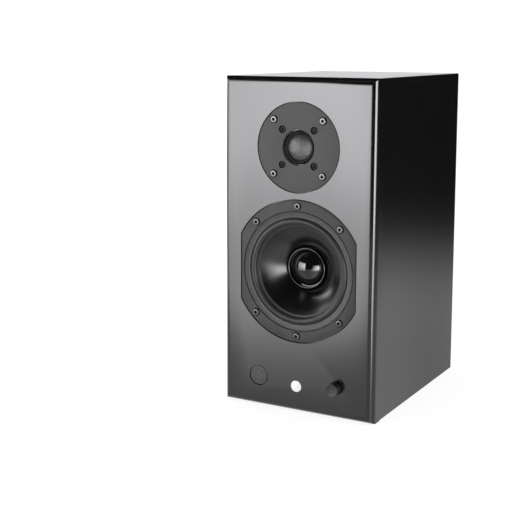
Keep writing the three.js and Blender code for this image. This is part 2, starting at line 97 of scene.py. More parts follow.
# ---------------------------------------------------------------- materials
def node_of(tree, kind, **settings):
    node = tree.nodes.new(kind)
    for key, value in settings.items():
        setattr(node, key, value)
    return node


def grey(value):
    return (value, value, value)


def material(name, dark, light, rough, metallic=0.0, grain=350.0, bump=0.05, depth=0.00005, pattern=None,
             specular=0.5, mottle=60.0):
    """A Principled material whose colour follows a slow mottle, and roughness and bump a fine grain.

    A pattern takes the grain's place in the bump and half of the mottle's in the colour.
    """
    made = bpy.data.materials.new(name)
    made.use_nodes = True
    tree = made.node_tree
    link = tree.links.new
    shader = tree.nodes["Principled BSDF"]
    shader.inputs["Metallic"].default_value = metallic
    shader.inputs["IOR"].default_value = IOR
    shader.inputs["Specular IOR Level"].default_value = specular
    where = node_of(tree, "ShaderNodeTexCoord").outputs["Object"]
    slow = node_of(tree, "ShaderNodeTexNoise")
    slow.inputs["Scale"].default_value = mottle
    slow.inputs["Detail"].default_value = 4.0
    link(where, slow.inputs["Vector"])
    fine = node_of(tree, "ShaderNodeTexNoise")
    fine.inputs["Scale"].default_value = grain
    fine.inputs["Detail"].default_value = 3.0
    link(where, fine.inputs["Vector"])
    height = fine.outputs["Fac"]
    colours = node_of(tree, "ShaderNodeValToRGB")
    colours.color_ramp.elements[0].position = 0.3
    colours.color_ramp.elements[0].color = (*dark, 1)
    colours.color_ramp.elements[1].position = 0.7
    colours.color_ramp.elements[1].color = (*light, 1)
    tone = slow.outputs["Fac"]
    if pattern:
        height = pattern(tree, where)
        mix = node_of(tree, "ShaderNodeMath", operation="MULTIPLY_ADD")
        mix.inputs[1].default_value = 0.5
        link(height, mix.inputs[0])
        half = node_of(tree, "ShaderNodeMath", operation="MULTIPLY")
        half.inputs[1].default_value = 0.5
        link(slow.outputs["Fac"], half.inputs[0])
        link(half.outputs[0], mix.inputs[2])
        tone = mix.outputs[0]
    link(tone, colours.inputs["Fac"])
    link(colours.outputs["Color"], shader.inputs["Base Color"])
    roughness = node_of(tree, "ShaderNodeMapRange")
    roughness.inputs["To Min"].default_value = rough[0]
    roughness.inputs["To Max"].default_value = rough[1]
    link(fine.outputs["Fac"], roughness.inputs["Value"])
    link(roughness.outputs["Result"], shader.inputs["Roughness"])
    relief = node_of(tree, "ShaderNodeBump")
    relief.inputs["Strength"].default_value = bump
    relief.inputs["Distance"].default_value = depth
    link(height, relief.inputs["Height"])
    link(relief.outputs["Normal"], shader.inputs["Normal"])
    return made


def weave(pitch):
    """Threads crossing in x and z, pitch millimetres apart."""
    def make(tree, where):
        threads = []
        for direction in ("X", "Z"):
            wave = node_of(tree, "ShaderNodeTexWave", wave_type="BANDS", bands_direction=direction)
            wave.inputs["Scale"].default_value = 1 / (pitch * MM) / 20 * math.pi
            wave.inputs["Distortion"].default_value = 0.6
            wave.inputs["Detail"].default_value = 1.0
            tree.links.new(where, wave.inputs["Vector"])
            threads.append(wave.outputs["Fac"])
        both = node_of(tree, "ShaderNodeMath", operation="MAXIMUM")
        tree.links.new(threads[0], both.inputs[0])
        tree.links.new(threads[1], both.inputs[1])
        return both.outputs[0]
    return make


def cells(scale):
    """Open cells, as in foam or a coarse casting."""
    def make(tree, where):
        voronoi = node_of(tree, "ShaderNodeTexVoronoi")
        voronoi.inputs["Scale"].default_value = scale
        tree.links.new(where, voronoi.inputs["Vector"])
        return voronoi.outputs["Distance"]
    return make


def turned_rings(scale):
    """Fine rings about the Y axis, as on turned metal or a moulded cone."""
    def make(tree, where):
        wave = node_of(tree, "ShaderNodeTexWave", wave_type="RINGS", rings_direction="Y")
        wave.inputs["Scale"].default_value = scale
        wave.inputs["Distortion"].default_value = 0.2
        tree.links.new(where, wave.inputs["Vector"])
        return wave.outputs["Fac"]
    return make


LOOKS = {
    "black_lacquer": material(
        "black_lacquer", grey(0.0028), grey(0.0036), (0.15, 0.18), grain=700, bump=0.02, mottle=25,
    ),
    "fibreboard": material(
        "fibreboard", (0.22, 0.14, 0.08), (0.36, 0.25, 0.15), (0.75, 0.95), grain=2500, bump=0.4,
    ),
    "lining_foam": material(
        "lining_foam", grey(0.008), grey(0.05), (0.9, 1.0), pattern=cells(900), bump=1.0, depth=0.001,
    ),
    "coated_metal": material(
        "coated_metal", grey(0.042), grey(0.052), (0.5, 0.58), grain=2600, bump=0.12, mottle=30,
        specular=0.25,
    ),
    "basket_metal": material(
        "basket_metal", grey(0.03), grey(0.04), (0.5, 0.58), grain=2600, bump=0.12, mottle=30,
        specular=0.23,
    ),
    "soft_rubber": material(
        "soft_rubber", grey(0.016), grey(0.021), (0.4, 0.48), grain=1500, bump=0.05, specular=0.26,
    ),
    "trim_rubber": material(
        "trim_rubber", grey(0.05), grey(0.06), (0.48, 0.55), grain=1500, bump=0.05, specular=0.28,
    ),
    "coated_fabric": material(
        "coated_fabric", (0.001, 0.001, 0.001), (0.014, 0.014, 0.012), (0.46, 0.54),
        pattern=weave(0.9), bump=1.0, depth=0.0002, mottle=1400, specular=1.0,
    ),
    "surround_fabric": material(
        "surround_fabric", grey(0.003), grey(0.008), (0.45, 0.6), pattern=weave(0.8), bump=0.5,
        depth=0.0001, mottle=900, specular=0.15,
    ),
    "gloss_cone": material(
        "gloss_cone", grey(0.002), grey(0.003), (0.2, 0.24), grain=300, bump=0.02, specular=0.35,
    ),
    "gloss_cap": material("gloss_cap", grey(0.003), grey(0.0045), (0.05, 0.07), grain=300, bump=0.01),
    "coil_copper": material(
        "coil_copper", (0.45, 0.17, 0.06), (0.72, 0.32, 0.13), (0.25, 0.4), 1.0,
        pattern=turned_rings(600), bump=0.5,
    ),
    "plated_steel": material(
        "plated_steel", grey(0.4), grey(0.52), (0.25, 0.4), 1.0, grain=1200, bump=0.05,
    ),
    "screw_steel": material(
        "screw_steel", grey(0.058), grey(0.075), (0.2, 0.3), 1.0, grain=3000, bump=0.08,
    ),
    "screw_dark": material("screw_dark", grey(0.046), grey(0.06), (0.2, 0.3), 1.0, grain=3000, bump=0.08),
    # black screws; this look is also painted into screw sockets and counterbores as painted shade
    "screw_black": material(
        "screw_black", grey(0.0015), grey(0.003), (0.3, 0.4), grain=3000, bump=0.1, specular=0.1,
    ),
    "ferrite": material("ferrite", grey(0.02), grey(0.035), (0.6, 0.8), grain=1800, bump=0.3),
    "spider_cloth": material(
        "spider_cloth", (0.3, 0.17, 0.05), (0.55, 0.36, 0.14), (0.7, 0.9), pattern=weave(0.7), bump=0.8,
    ),
    "black_plastic": material(
        "black_plastic", grey(0.009), grey(0.014), (0.3, 0.38), grain=1600, bump=0.08,
    ),
    "knob_black": material(
        "knob_black", grey(0.006), grey(0.01), (0.4, 0.5), grain=2000, bump=0.1, specular=0.3,
    ),
    "button_black": material("button_black", grey(0.003), grey(0.005), (0.16, 0.2), grain=2000, bump=0.03),
    "white_plastic": material("white_plastic", grey(0.78), grey(0.86), (0.3, 0.4), grain=900, bump=0.03),
    "red_plastic": material(
        "red_plastic", (0.3, 0.008, 0.008), (0.42, 0.02, 0.016), (0.28, 0.38), grain=900, bump=0.04,
    ),
    "circuit_board": material(
        "circuit_board", (0.008, 0.05, 0.02), (0.02, 0.11, 0.045), (0.35, 0.5), grain=700, bump=0.1,
    ),
    "black_aluminium": material(
        "black_aluminium", grey(0.018), grey(0.026), (0.36, 0.46), 0.35, grain=2400, bump=0.14,
    ),
    "gold_plate": material(
        "gold_plate", (0.62, 0.4, 0.12), (0.86, 0.62, 0.24), (0.16, 0.28), 1.0, grain=1200, bump=0.04,
    ),
    "cable_sheath": material(
        "cable_sheath", (0.25, 0.012, 0.01), (0.36, 0.02, 0.018), (0.4, 0.5), grain=900, bump=0.05,
    ),
    "port_plastic": material("port_plastic", grey(0.012), grey(0.018), (0.36, 0.44), grain=1400, bump=0.06),
    "glyph": material("glyph", grey(0.03), grey(0.04), (0.4, 0.5), grain=900, bump=0.03),
}


# ---------------------------------------------------------------- mesh tools
def make_mesh(name, verts, faces, look, body="cabinet", smooth=35.0):
    """A mesh piece from points in millimetres, riding on a body."""
    data = bpy.data.meshes.new(name)
    data.from_pydata([Vector(v) * MM for v in verts], [], faces)
    return finish_piece(name, data, look, body, smooth)


def finish_piece(name, data, look, body="cabinet", smooth=35.0):
    tidy = bmesh.new()
    tidy.from_mesh(data)
    bmesh.ops.remove_doubles(tidy, verts=tidy.verts, dist=1e-6)
    bmesh.ops.dissolve_degenerate(tidy, edges=tidy.edges, dist=1e-7)
    bmesh.ops.recalc_face_normals(tidy, faces=tidy.faces)
    tidy.to_mesh(data)
    tidy.free()
    shade(data, smooth)
    data.materials.append(LOOKS[look])
    piece = bpy.data.objects.new(name, data)
    bpy.context.scene.collection.objects.link(piece)
    if body:
        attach(piece, body)
    return piece


def shade(data, angle):
    data.polygons.foreach_set("use_smooth", [True] * len(data.polygons))
    data.set_sharp_from_angle(angle=math.radians(angle))


def arc(cr, cy, radius, start, end, steps):
    """Points [r, y] round a centre. 0 degrees points outwards and 90 points into the cabinet."""
    points = []
    for i in range(steps + 1):
        angle = math.radians(start + (end - start) * i / steps)
        points.append((cr + radius * math.cos(angle), cy + radius * math.sin(angle)))
    return points


def spline(points, steps=8):
    """A smooth curve through the points."""
    made = []
    last = len(points) - 1
    for i in range(last):
        a, b, c, d = (Vector(points[min(max(k, 0), last)]) for k in (i - 1, i, i + 1, i + 2))
        for s in range(steps):
            t = s / steps
            cubic = (2 * a - 5 * b + 4 * c - d) * t * t + (3 * b - a - 3 * c + d) * t ** 3
            made.append(0.5 * (2 * b + (c - a) * t + cubic))
    made.append(Vector(points[last]))
    return [tuple(p) for p in made]


def turned(profile, x=0.0, z=0.0, y0=0.0, segments=ROUND, shape=None):
    """Points and faces of a profile of [r, y] turned about Y.

    The profile closes on itself, or starts and ends on the axis. shape(angle, r) may change the radius.
    """
    closed = profile[0][0] > 1e-6
    verts, faces = [], []
    for i in range(segments):
        angle = 2 * math.pi * i / segments
        for r, y in profile:
            radius = shape(angle, r) if shape else r
            verts.append((x + radius * math.cos(angle), y0 + y, z + radius * math.sin(angle)))
    count = len(profile)
    spans = count if closed else count - 1
    for i in range(segments):
        j = (i + 1) % segments
        for k in range(spans):
            m = (k + 1) % count
            faces.append((i * count + k, i * count + m, j * count + m, j * count + k))
    return verts, faces


def turn(name, profile, look, at=(0, 0), y0=FRONT, body="cabinet", segments=ROUND, smooth=35.0, shape=None):
    verts, faces = turned(profile, at[0], at[1], y0, segments, shape)
    return make_mesh(name, verts, faces, look, body, smooth)


def prism(outline, y0, y1, x=0.0, z=0.0, chamfer=0.0):
    """Points and faces of an outline in x and z from y0 to y1, with its y1 edge chamfered."""
    rings = [(0.0, y0), (0.0, y1)]
    if chamfer:
        step = math.copysign(chamfer, y1 - y0)
        rings = [(0.0, y0), (0.0, y1 - step), (chamfer * 0.3, y1 - step * 0.3), (chamfer, y1)]
    verts, faces = [], []
    count = len(outline)
    for inset, y in rings:
        verts += [(x + px, y, z + pz) for px, pz in inset_outline(outline, inset)]
    for k in range(len(rings) - 1):
        for i in range(count):
            j = (i + 1) % count
            faces.append((k * count + i, k * count + j, (k + 1) * count + j, (k + 1) * count + i))
    faces.append(tuple(range(count)))
    faces.append(tuple((len(rings) - 1) * count + i for i in range(count)))
    return verts, faces


def inset_outline(outline, inset):
    if not inset:
        return list(outline)
    made = []
    count = len(outline)
    for i, here in enumerate(outline):
        before = Vector(outline[i - 1])
        after = Vector(outline[(i + 1) % count])
        here = Vector(here)
        first = (here - before).normalized()
        second = (after - here).normalized()
        bisector = Vector((-(first.y + second.y), first.x + second.x))
        scale = max(bisector.length_squared / 2, 0.3)
        made.append(tuple(here + bisector / scale * inset))
    return made


def rounded_rectangle(width, height, radius, steps=5):
    points = []
    for k, (sx, sz) in enumerate([(1, 1), (-1, 1), (-1, -1), (1, -1)]):
        cx, cz = sx * (width / 2 - radius), sz * (height / 2 - radius)
        for i in range(steps + 1):
            angle = math.radians(90 * k + 90 * i / steps)
            points.append((cx + radius * math.cos(angle), cz + radius * math.sin(angle)))
    return points


def circle(radius, segments=SMALL):
    angles = [2 * math.pi * i / segments for i in range(segments)]
    return [(radius * math.cos(angle), radius * math.sin(angle)) for angle in angles]


def merge(parts):
    """Several (points, faces) as one."""
    verts, faces = [], []
    for part_verts, part_faces in parts:
        start = len(verts)
        verts += part_verts
        faces += [tuple(i + start for i in face) for face in part_faces]
    return verts, faces


def cut(piece, parts, operation="DIFFERENCE"):
    """Takes the parts, each (points, faces) in millimetres, out of a piece, or adds them to it."""
    for verts, faces in parts:
        data = bpy.data.meshes.new("cutter")
        data.from_pydata([Vector(v) * MM for v in verts], [], faces)
        tidy = bmesh.new()
        tidy.from_mesh(data)
        bmesh.ops.remove_doubles(tidy, verts=tidy.verts, dist=1e-7)
        bmesh.ops.recalc_face_normals(tidy, faces=tidy.faces)
        tidy.to_mesh(data)
        tidy.free()
        cutter = bpy.data.objects.new("cutter", data)
        bpy.context.scene.collection.objects.link(cutter)
        modifier = piece.modifiers.new("cut", "BOOLEAN")
        modifier.operation = operation
        modifier.solver = "EXACT"
        modifier.object = cutter
        bpy.context.view_layer.update()
        evaluated = piece.evaluated_get(bpy.context.evaluated_depsgraph_get())
        result = bpy.data.meshes.new_from_object(evaluated)
        piece.modifiers.clear()
        old = piece.data
        piece.data = result
        result.name = old.name
        bpy.data.meshes.remove(old)
        bpy.data.objects.remove(cutter)
    shade(piece.data, 35)
    return piece


def paint(piece, look, inside):
    """Gives another look to the faces whose middle, in millimetres, is inside."""
    data = piece.data
    data.materials.append(LOOKS[look])
    index = len(data.materials) - 1
    for face in data.polygons:
        if inside(face.center / MM):
            face.material_index = index


def hole(radius, y0, y1, x, z, segments=SMALL):
    return prism(circle(radius, segments), y0, y1, x, z)


def cap_skins(rim, base, apex, skin, outer_steps, inner_steps=24):
    """The outer and inner curves of a spherical cap, from the axis to the rim and back."""
    rise = base - apex
    sphere = (rim ** 2 + rise ** 2) / (2 * rise)
    half_angle = math.degrees(math.asin(rim / sphere))
    outer = arc(0, apex + sphere, sphere, -90, -90 + half_angle, outer_steps)
    inner = arc(0, apex + sphere, sphere - skin, -90 + half_angle, -90, inner_steps)
    return outer, inner


def cross_slots(length, width, y0, y1, x, z):
    """The two crossing slots of a screw head."""
    sizes = ((length, width), (width, length))
    return [prism(rounded_rectangle(w, h, 0.1, 1), y0, y1, x, z) for w, h in sizes]


# ---------------------------------------------------------------- cabinet
def baffle():
    steps = 10
    rings = [(0.0, BAFFLE_BACK)]
    for i in range(steps + 1):
        angle = math.pi / 2 * i / steps
        rings.append((FRONT_ROUND * (1 - math.cos(angle)), FRONT + FRONT_ROUND * (1 - math.sin(angle))))
    verts, faces = [], []
    for inset, y in rings:
        x, low, high = HALF_WIDTH - inset, inset, HEIGHT - inset
        verts += [(-x, y, low), (x, y, low), (x, y, high), (-x, y, high)]
    for k in range(len(rings) - 1):
        for i in range(4):
            j = (i + 1) % 4
            faces.append((4 * k + i, 4 * k + j, 4 * k + 4 + j, 4 * k + 4 + i))
    faces += [(0, 1, 2, 3), tuple(4 * (len(rings) - 1) + i for i in range(4))]
    piece = make_mesh("front_baffle_lacquered", verts, faces, "black_lacquer")
    behind = BAFFLE_BACK + 1
    before = FRONT - 1
    cut(piece, [
        hole(47.2, before, FRONT + 5, TWEETER.x, TWEETER.z, ROUND),
        hole(35.3, before, behind, TWEETER.x, TWEETER.z, ROUND),
        prism(flange_outline(75.6, 67.0), before, FRONT + 5.2, WOOFER.x, WOOFER.z),
        hole(63.2, before, behind, WOOFER.x, WOOFER.z, ROUND),
        prism(rounded_rectangle(128, 42, 0.5, 2), FRONT + 6, behind, 0, BUTTON.z),
        hole(10.9, before, behind, BUTTON.x, BUTTON.z, 64),
        hole(4.7, before, behind, KNOB.x, KNOB.z),
    ])
    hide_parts("front_baffle")


def panels():
    """Top, bottom and side panels: mitred where they meet, with the outer edges and rear rim just eased."""
    ease = 1.4
    steps = 6
    rim = [(0.0, BAFFLE_BACK), (0.0, BACK - ease)]
    for i in range(1, steps + 1):
        angle = math.pi / 2 * i / steps
        rim.append((ease * (1 - math.cos(angle)), BACK - ease + ease * math.sin(angle)))
    rim += [(WALL, BACK), (WALL, BAFFLE_BACK)]
    half = HEIGHT / 2
    names = ["right_side_panel", "top_panel", "left_side_panel", "bottom_panel"]
    for side, node in enumerate(names):
        across, along = (HALF_WIDTH, half) if side % 2 == 0 else (half, HALF_WIDTH)
        verts, faces = [], []
        stations = []
        for i in range(steps + 1):
            angle = math.radians(-45 + 45 * i / steps)
            stations.append((angle, -1))
        for i in range(steps + 1):
            stations.append((math.radians(45 * i / steps), 1))
        for angle, sign in stations:
            for inset, y in rim:
                radius = max(ease - inset, 0.0)
                keep = max(inset, ease)
                out = across - keep + radius * math.cos(angle)
                up = sign * (along - keep) + radius * math.sin(angle)
                turned_by = math.pi / 2 * side
                x = out * math.cos(turned_by) - up * math.sin(turned_by)
                z = half + out * math.sin(turned_by) + up * math.cos(turned_by)
                verts.append((x, y, z))
        count = len(rim)
        for i in range(len(stations) - 1):
            for k in range(count):
                m = (k + 1) % count
                faces.append((i * count + k, i * count + m, (i + 1) * count + m, (i + 1) * count + k))
        last = (len(stations) - 1) * count
        faces += [tuple(range(count)), tuple(last + k for k in range(count))]
        piece = make_mesh(node + "_lacquered", verts, faces, "black_lacquer", smooth=30)
        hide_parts(node)


def rear_panel():
    width, height = 2 * (HALF_WIDTH - WALL), HEIGHT - 2 * WALL
    outline = rounded_rectangle(width - 0.1, height - 0.1, 0.3, 1)
    verts, faces = prism(outline, BACK - WALL, BACK, 0, HEIGHT / 2, 0.4)
    piece = make_mesh("rear_panel_lacquered", verts, faces, "black_lacquer")
    low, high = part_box("amp_plate")
    plate_width, plate_height = (high.x - low.x) / MM, (high.z - low.z) / MM
    seat = rounded_rectangle(plate_width + 0.6, plate_height + 0.6, 0.5, 1)
    opening = rounded_rectangle(plate_width - 16, plate_height - 16, 2)
    inside, outside = BACK - WALL - 1, BACK + 1
    cut(piece, [
        hole(24.8, inside, outside, PORT.x, PORT.z, ROUND),
        hole(32.3, BACK - 3, outside, PORT.x, PORT.z, ROUND),
        prism(seat, BACK - 2.5, outside, PLATE.x, PLATE.z),
        prism(opening, inside, outside, PLATE.x, PLATE.z),
    ])
    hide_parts("rear_panel")


# ---------------------------------------------------------------- driver screws
def socket_screw(name, look, radius=3.4, height=3.0, socket=1.75, shank=1.9, length=13.0):
    """A hex socket head cap screw with its head's underside at y 0 and its face towards -Y."""
    round_edge = arc(radius - 0.5, -height + 0.5, 0.5, -90, 0, 5)
    profile = round_edge + [(radius, -0.15), (radius - 0.15, 0), (shank, 0)]
    profile += [(shank, length - 2), (shank * 0.4, length)]
    verts, faces = turned([(0, -height)] + profile + [(0, length)], segments=SMALL)
    piece = make_mesh(name, verts, faces, look, None)
    corner = socket * 1.15
    cut(piece, [prism(circle(corner, 6), -height - 1, -height + 2.0)])

    # painted shade: the inside of the hex socket is painted black
    def in_shaded_socket(p):
        return math.hypot(p.x, p.z) < corner and -height + 0.02 < p.y < -0.1

    paint(piece, "screw_black", in_shaded_socket)
    return piece


def place_screws(prefix, master, seat):
    count = 1
    while f"{prefix}_{count}" in frame["nodes"]:
        node = f"{prefix}_{count}"
        place = middle(node)
        piece = bpy.data.objects.new(node + "_bright", master.data)
        bpy.context.scene.collection.objects.link(piece)
        piece.location = (place.x * MM, seat * MM, place.z * MM)
        piece.rotation_euler = (0, math.radians(23 + 47 * count), 0)
        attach(piece, "cabinet")
        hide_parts(node)
        count += 1
    bpy.data.objects.remove(master)


def paint_bore_shade(plate, places):
    """Paints the insides of a driver's screw counterbores black: painted shade in the recesses."""
    reach = SCREW_BORE + 0.05

    def in_shaded_bore(p):
        near = any(math.hypot(p.x - x, p.z - z) < reach for x, z in places)
        return near and FRONT + 0.3 < p.y < FRONT + 4

    paint(plate, "screw_black", in_shaded_bore)


# ---------------------------------------------------------------- tweeter
TWEETER_SCREW = 39.6 / math.sqrt(2)
MOTOR_SCREW = 25.7 / math.sqrt(2)
CORNERS = [(1, 1), (-1, 1), (-1, -1), (1, -1)]


def tweeter():
    at = (TWEETER.x, TWEETER.z)
    plate_edge = 46.4
    profile = arc(plate_edge - 0.6, 0.8, 0.6, -90, 0, 5) + [(plate_edge, 4.2), (18.2, 4.2)]
    profile += arc(18.9, 0.9, 0.7, 180, 270, 5)
    plate = turn("tweeter_faceplate_coated", profile, "coated_metal", at, segments=128)
    cutters = []
    for sx, sz in CORNERS:
        x, z = TWEETER.x + sx * TWEETER_SCREW, TWEETER.z + sz * TWEETER_SCREW
        cutters.append(hole(SCREW_BORE, FRONT - 1, FRONT + SCREW_SEAT, x, z))
        cutters.append(hole(2.2, FRONT, FRONT + 6, x, z))
        x, z = TWEETER.x + sx * MOTOR_SCREW, TWEETER.z + sz * MOTOR_SCREW
        cutters.append(hole(MOTOR_BORE, FRONT - 1, FRONT + MOTOR_SEAT, x, z))
        cutters.append(hole(1.8, FRONT, FRONT + 6, x, z))
    cut(plate, cutters)
    offsets = (TWEETER_SCREW, MOTOR_SCREW)
    # painted shade: the insides of the screw counterbores are painted black
    paint_bore_shade(plate, [(TWEETER.x + sx * r, TWEETER.z + sz * r) for sx, sz in CORNERS for r in offsets])
    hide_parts("tweeter_faceplate")
    for number, (sx, sz) in enumerate(CORNERS, 1):
        screw = socket_screw(f"tweeter_motor_screw_{number}", "screw_black", 3.0, 1.7, 1.3, 1.5, 5.0)
        x, z = TWEETER.x + sx * MOTOR_SCREW, TWEETER.z + sz * MOTOR_SCREW
        screw.location = Vector((x, FRONT + MOTOR_SEAT, z)) * MM
        screw.rotation_euler = (0, math.radians(17 + 31 * number), 0)
        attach(screw, "cabinet")

    outer, inner = cap_skins(rim=13.6, base=4.2, apex=-1.2, skin=0.5, outer_steps=24)
    dome = turn("tweeter_dome_woven", outer + inner, "coated_fabric", at, body="tweeter_diaphragm")
    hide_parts("tweeter_dome")
    roll = spline([
        (13.75, 4.1), (14.2, 3.2), (15.2, 2.8), (16.1, 3.1), (16.7, 3.7), (17.2, 3.9), (17.9, 3.9),
    ], 6)
    under = spline([(17.9, 4.5), (16.6, 4.4), (15.9, 3.7), (15.2, 3.4), (14.6, 3.7), (14.4, 4.6)], 4)
    under += [(14.2, 4.95), (12.9, 4.95), (12.9, 4.8), (13.75, 4.75)]
    surround = turn("tweeter_surround_woven", roll + under, "surround_fabric", at, body=None)
    radial_blend(surround)
    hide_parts("tweeter_surround")
    place_screws("tweeter_screw", socket_screw("tweeter_screw_master", "screw_steel"), FRONT + SCREW_SEAT)


def radial_blend(piece):
    """Bakes the piece's world transform into its mesh.
    """
    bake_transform(piece)


# ---------------------------------------------------------------- woofer
WOOFER_SCREW = 68.4


def flange_outline(radius, flat, segments=160):
    """A circle with a flat at each side. The flats' ends are points of the outline."""
    corner = math.acos(flat / radius)
    points = []
    for centre in (math.pi / 2, 3 * math.pi / 2):
        half = math.pi / 2 - corner
        for i in range(segments // 2 + 1):
            angle = centre - half + 2 * half * i / (segments // 2)
            points.append((radius * math.cos(angle), radius * math.sin(angle)))
    return points


def woofer():
    at = (WOOFER.x, WOOFER.z)
    face = FRONT + 0.2
    back = face + 4.5
    plate = prism(flange_outline(74.6, 66.0), back, face, *at, 0.5)
    flange = make_mesh("woofer_basket_cast", *plate, "basket_metal")
    tub = [
        (64, 1.4), (64, 5.2), (61.9, 14), (41.5, 42), (41, 42.6), (41, 46), (21.5, 46), (21.5, 43), (38, 43),
        (38.6, 42.2), (58.4, 14), (56.5, 6.8), (56.5, 3.6), (62.8, 3.6), (62.8, 1.4),
    ]
    windows = []
    for i in range(6):
        verts, faces = prism([(15, 16), (-15, 16), (-15, 38), (15, 38)], 28, 68)
        spin = Matrix.Rotation(math.radians(60 * i + 30), 3, "Y")
        moved = []
        for x, y, z in verts:
            # the block is built lying along Y and stood up so that its length runs out along the radius
            moved.append(tuple(spin @ Vector((x, z, y)) + Vector((at[0], FRONT, at[1]))))
        windows.append((moved, faces))
    cut(flange, [hole(63.5, face - 1, back + 1, *at, 128)])
    cut(flange, [turned(tub, *at, FRONT, 128)], "UNION")
    cutters = list(windows)
    bores = []
    for i in range(8):
        if i % 4:
            x = at[0] + WOOFER_SCREW * math.cos(math.pi / 4 * i)
            z = at[1] + WOOFER_SCREW * math.sin(math.pi / 4 * i)
            bores.append((x, z))
            cutters.append(hole(SCREW_BORE, FRONT - 1, FRONT + SCREW_SEAT, x, z))
            cutters.append(hole(2.2, FRONT, FRONT + 8, x, z))
    cut(flange, cutters)
    # painted shade: the insides of the screw counterbores are painted black
    paint_bore_shade(flange, bores)
    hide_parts("woofer_basket")

    trim = arc(62.0, 0.95, 0.45, 0, -100, 5) + [(61.8, 0.6), (57.2, 1.5)] + arc(56.9, 1.9, 0.45, 260, 180, 4)
    trim += [(56.4, 2.9), (62.45, 2.9)]
    ring = turn("woofer_trim_ring_moulded", trim, "trim_rubber", at, segments=128)
    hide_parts("woofer_trim_ring")

    top = [(62.4, 3.05), (56.5, 3.05)] + arc(52.5, 3.5, 3.5, 0, -180, 22)[1:]
    top += spline([(49.0, 3.9), (48.5, 4.4), (47.4, 4.7), (46.6, 5.1), (46.3, 5.6)], 5)
    under = [(46.6, 6.0), (48.9, 5.0)] + arc(52.5, 3.5, 2.9, 180, 360, 16) + [(56.0, 3.6), (62.4, 3.6)]
    surround = turn("woofer_surround_roll", top + under, "soft_rubber", at, body=None, segments=128)
    radial_blend(surround)
    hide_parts("woofer_surround")

    front = spline([
        (48.3, 5.4), (44, 7.3), (40, 9.3), (36, 11.7), (32, 14.5), (28, 17.9), (25, 20.8), (22.8, 23.5),
    ])
    neck = [(22.1, 26.1), (19.9, 26.8), (19.9, 27.7), (22.5, 27.3)]
    rear = spline([
        (23.6, 24.2), (25.8, 21.6), (28.8, 18.6), (32.7, 15.2),
        (36.6, 12.4), (40.5, 10.1), (44.4, 8.2), (48.3, 6.4),
    ])
    profile = front + neck + rear
    body = "woofer_diaphragm"
    cone = turn("woofer_cone_gloss", profile, "gloss_cone", at, body=body, segments=160, smooth=50)
    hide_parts("woofer_cone")

    outer, inner = cap_skins(rim=18.7, base=24.4, apex=14.6, skin=0.9, outer_steps=32)
    profile = outer + [(19.3, 25.0), (20.0, 24.8), (20.2, 24.2), (20.2, 21.9)]
    profile += arc(20.9, 21.7, 0.7, 180, 360, 8)
    profile += [(21.6, 26.1), (20.6, 26.1), (20.6, 25.9)] + inner
    cap = turn("woofer_dust_cap_gloss", profile, "gloss_cap", at, body="woofer_diaphragm", segments=128)
    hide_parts("woofer_dust_cap")

    ridges = [(20.5 + 1.1 * i, 38.4 + 1.0 * (-1) ** i) for i in range(12)]
    ridges = [(19.9, 38.6)] + ridges + [(33.7, 38.8)]
    cloth = spline(ridges, 5) + [(34.6, 42.2), (37, 42.2), (37, 42.9), (34.1, 42.9)]
    cloth += [(r - 0.15, y + 0.6) for r, y in reversed(spline(ridges, 5))]
    spider = turn("woofer_spider_cloth", cloth, "spider_cloth", at, body=None)
    radial_blend(spider)
    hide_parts("woofer_spider")
    place_screws("woofer_screw", socket_screw("woofer_screw_master", "screw_dark"), FRONT + SCREW_SEAT)


# ---------------------------------------------------------------- front controls and badge
def controls():
    edge = 10.2
    profile = [(0, 0.3), (edge - 0.55, 0.3)] + arc(edge - 0.4, 0.7, 0.4, -90, 0, 4)
    profile += [(edge, 6.4), (12.4, 6.4), (12.4, 8.0), (3, 8.0), (3, 11.6), (0, 11.6)]
    at = (BUTTON.x, BUTTON.z)
    button = turn("standby_button_disc", profile, "button_black", at, body="standby_button", segments=64)
    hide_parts("standby_button")
    symbol = [[(-0.25, 1.2), (0.25, 1.2), (0.25, 4.2), (-0.25, 4.2)]]
    for i in range(24):
        a, b = (math.radians(125 + 290 * k / 24) for k in (i, i + 1))
        corners = ((3.4, a), (3.4, b), (2.9, b), (2.9, a))
        symbol.append([(r * math.cos(t), r * math.sin(t)) for r, t in corners])
    parts = [prism(outline, FRONT + 0.36, FRONT + 0.24, *at) for outline in symbol]
    glyph = make_mesh("standby_button_glyph", *merge(parts), "glyph", "standby_button")

    face, base = -9.5, -0.9
    profile = [(0, face + 0.35), (4.6, face + 0.35), (5.6, face + 0.12), (6.3, face)]
    profile += arc(6.7, face + 0.5, 0.5, -90, 0, 4)
    profile += [(7.2, base - 1.2), (6.9, base - 0.9), (6.9, base), (3.3, base), (3.3, -7.5), (0, -7.5)]
    at = (KNOB.x, KNOB.z)
    knob = turn("volume_knob_turned", profile, "knob_black", at, body="volume_turn", segments=96)
    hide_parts("volume_knob")

    low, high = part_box("badge")
    radius = (high.x - low.x) / 2 / MM
    profile = [(0, -0.55), (radius - 0.5, -0.55), (radius - 0.15, -0.4)]
    profile += [(radius, -0.2), (radius, 0), (0, 0)]
    badge = turn("front_badge_disc", profile, "white_plastic", (BADGE.x, BADGE.z), segments=64)
    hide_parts("badge")


